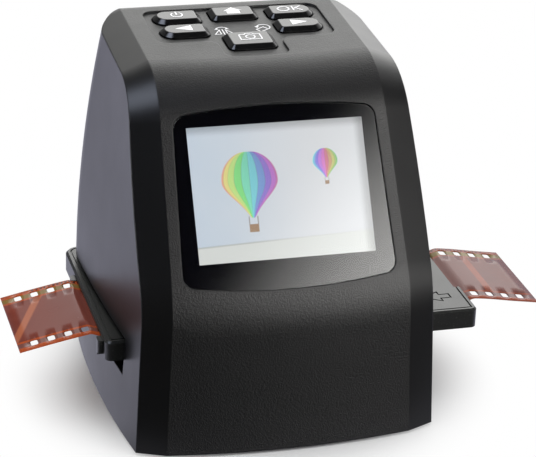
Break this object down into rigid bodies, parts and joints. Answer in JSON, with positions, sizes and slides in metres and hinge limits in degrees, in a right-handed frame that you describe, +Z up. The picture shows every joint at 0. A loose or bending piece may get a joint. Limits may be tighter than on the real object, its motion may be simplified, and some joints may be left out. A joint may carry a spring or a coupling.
{
  "type": "film negative scanner",
  "caption": "Small upright table-top scanner for 35 mm film strips, with a leaning colour screen, a row of keys on top and a flat film tray pushed through a slot from side to side.",
  "frame": {"origin": "on the table, under the optical axis, which is the middle of the film gate", "axes": "+X to the right seen from the front, along the film; +Y to the rear; +Z up"},
  "size_m": [0.1516, 0.0918, 0.1015],
  "materials": {
    "body_black": "satin",
    "cover_black": "fine texture",
    "rubber": "matt",
    "screw_steel": "zinc plated",
    "screw_black": "blackened",
    "dark_pane": "polished",
    "tape": "matt",
    "lcd": "polished",
    "white_plastic": "matt",
    "opal": "opal",
    "sheet_metal": "bright",
    "board_green": "solder mask",
    "chip_black": "matt",
    "key_black": "polished",
    "switch": "matt",
    "ribbon": "satin",
    "capacitor": "satin",
    "inner_black": "matt",
    "lens_glass": "polished",
    "filter_glass": "polished",
    "sensor": "polished",
    "led": "polished",
    "lead": "satin",
    "tray_grey": "matt",
    "film": "polished"
  },
  "bodies": {
    "housing": {"housing_shell": "body_black", "rear_cover": "cover_black", "rear_cover_screws": "screw_black", "base_cover": "cover_black", "foot_pads": "rubber", "base_screws": "screw_steel", "leg_screws": "screw_steel", "screen_window": "dark_pane", "window_gasket": "tape", "lcd_panel": "lcd", "lcd_backlight": "white_plastic", "lcd_bracket": "sheet_metal", "lcd_bracket_screws": "screw_steel", "lcd_ribbon": "ribbon", "key_board": "board_green", "key_board_screws": "screw_steel", "tact_switches": "switch", "key_ribbon": "ribbon", "main_board": "board_green", "main_board_screws": "screw_steel", "processor_chip": "chip_black", "memory_chips": "chip_black", "power_coil": "chip_black", "capacitors": "capacitor", "sd_socket": "sheet_metal", "usb_socket": "sheet_metal", "tv_jack": "inner_black", "optical_tower": "inner_black", "tower_screws": "screw_steel", "lens_holder": "inner_black", "lens_barrel": "inner_black", "front_lens": "lens_glass", "rear_lens": "lens_glass", "infrared_filter": "filter_glass", "image_sensor": "sensor", "sensor_board": "board_green", "sensor_screws": "screw_steel", "sensor_ribbon": "ribbon", "upper_guide": "inner_black", "lower_guide": "inner_black", "guide_screws": "screw_steel", "tray_spring": "sheet_metal", "light_box": "white_plastic", "diffuser": "opal", "led_board": "board_green", "leds": "led", "lamp_lead": "lead"},
    "tray": {"tray_base": "tray_grey", "tray_lid": "tray_grey", "tray_hinge_pins": "screw_steel"},
    "film": {"film_strip": "film"},
    "power_key_body": {"power_key": "key_black"},
    "home_key_body": {"home_key": "key_black"},
    "ok_key_body": {"ok_key": "key_black"},
    "left_key_body": {"left_key": "key_black"},
    "right_key_body": {"right_key": "key_black"},
    "capture_key_body": {"capture_key": "key_black"}
  },
  "joints": [
    {"name": "tray_slide", "type": "slide", "parent": "housing", "child": "tray", "axis": [1, 0, 0], "range_m": [0, 0.075]},
    {"name": "film_feed", "type": "slide", "parent": "tray", "child": "film", "axis": [1, 0, 0], "range_m": [-0.038, 0.038]},
    {"name": "power_key_press", "type": "slide", "parent": "housing", "child": "power_key_body", "axis": [0, 0, -1], "range_m": [0, 0.0005], "stiffness_N_per_m": 300},
    {"name": "home_key_press", "type": "slide", "parent": "housing", "child": "home_key_body", "axis": [0, 0, -1], "range_m": [0, 0.0005], "stiffness_N_per_m": 300},
    {"name": "ok_key_press", "type": "slide", "parent": "housing", "child": "ok_key_body", "axis": [0, 0, -1], "range_m": [0, 0.0005], "stiffness_N_per_m": 300},
    {"name": "left_key_press", "type": "slide", "parent": "housing", "child": "left_key_body", "axis": [0, 0, -1], "range_m": [0, 0.0005], "stiffness_N_per_m": 300},
    {"name": "right_key_press", "type": "slide", "parent": "housing", "child": "right_key_body", "axis": [0, 0, -1], "range_m": [0, 0.0005], "stiffness_N_per_m": 300},
    {"name": "capture_key_press", "type": "slide", "parent": "housing", "child": "capture_key_body", "axis": [0, 0, -1], "range_m": [0, 0.0005], "stiffness_N_per_m": 300}
  ]
}
